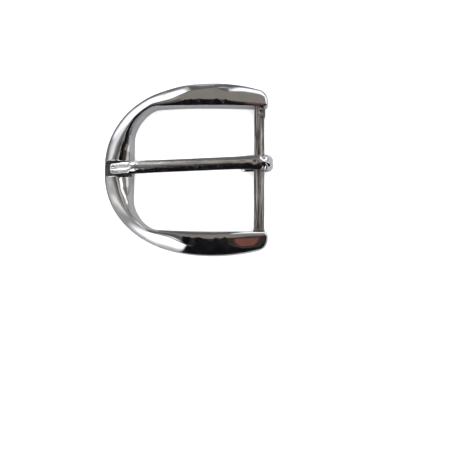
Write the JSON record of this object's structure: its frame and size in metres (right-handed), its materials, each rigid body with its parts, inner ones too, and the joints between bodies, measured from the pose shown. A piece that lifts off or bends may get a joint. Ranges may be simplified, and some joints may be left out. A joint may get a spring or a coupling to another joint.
{
  "type": "belt buckle",
  "caption": "D-shaped pin buckle for a flat strap: cast frame with a notched crown, a round strap bar, and a prong that swings on the bar.",
  "frame": {"origin": "under the middle of the whole buckle, on the plane that its back rests on", "axes": "+Z is the buckle's front, +X runs from the notched crown to the strap bar, +Y runs along the bar"},
  "size_m": [0.0546, 0.056, 0.0072],
  "materials": {
    "frame_plating": "polished nickel or chrome plate on a zinc casting, fine handling marks",
    "bar_steel": "duller drawn steel with lengthwise draw lines and a faint brown patina",
    "prong_plating": "polished nickel or chrome plate"
  },
  "bodies": {
    "frame_body": {"frame": "frame_plating", "bar": "bar_steel"},
    "prong_body": {"prong": "prong_plating"}
  },
  "joints": [
    {"name": "prong_swing", "type": "hinge", "parent": "frame_body", "child": "prong_body", "pos_m": [0.0227, 0.00185, 0.003], "axis": [0, 1, 0], "range_deg": [0, 345]}
  ]
}
